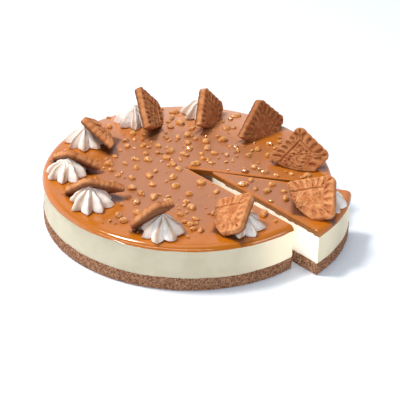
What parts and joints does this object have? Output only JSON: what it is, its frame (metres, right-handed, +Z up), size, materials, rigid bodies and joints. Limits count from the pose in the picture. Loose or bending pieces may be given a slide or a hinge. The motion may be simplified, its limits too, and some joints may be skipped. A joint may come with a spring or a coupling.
{
  "type": "baked cheesecake",
  "caption": "Round baked cheesecake on a crumb base under a caramel sheet, with cream rosettes and half biscuits round the rim and one slice drawn out.",
  "frame": {"origin": "on the surface that the cake stands on, under the middle of the whole outline with its drawn-out slice", "axes": "+Z up, +X to the right along the longest extent, towards the drawn-out slice's side, and +Y away from the viewer of the picture"},
  "size_m": [0.2341, 0.221, 0.0671],
  "materials": {
    "crumb": "crumbly, matt, brown biscuit crumb",
    "cheese": "smooth, softly translucent cream cheese",
    "caramel": "glossy set caramel with amber nuggets",
    "cream": "satin whipped cream",
    "biscuit": "dry, grainy caramelised biscuit"
  },
  "bodies": {
    "root": {"crumb_base": "crumb", "cheesecake": "cheese", "caramel_top": "caramel", "slice_crumb_base": "crumb", "slice_cheesecake": "cheese", "slice_caramel_top": "caramel", "rosette_01": "cream", "rosette_02": "cream", "rosette_03": "cream", "rosette_04": "cream", "rosette_05": "cream", "rosette_06": "cream", "rosette_07": "cream", "rosette_08": "cream", "rosette_09": "cream", "rosette_10": "cream", "biscuit_01": "biscuit", "biscuit_02": "biscuit", "biscuit_03": "biscuit", "biscuit_04": "biscuit", "biscuit_05": "biscuit", "biscuit_06": "biscuit", "biscuit_07": "biscuit", "biscuit_08": "biscuit", "biscuit_09": "biscuit", "biscuit_10": "biscuit"}
  },
  "joints": []
}
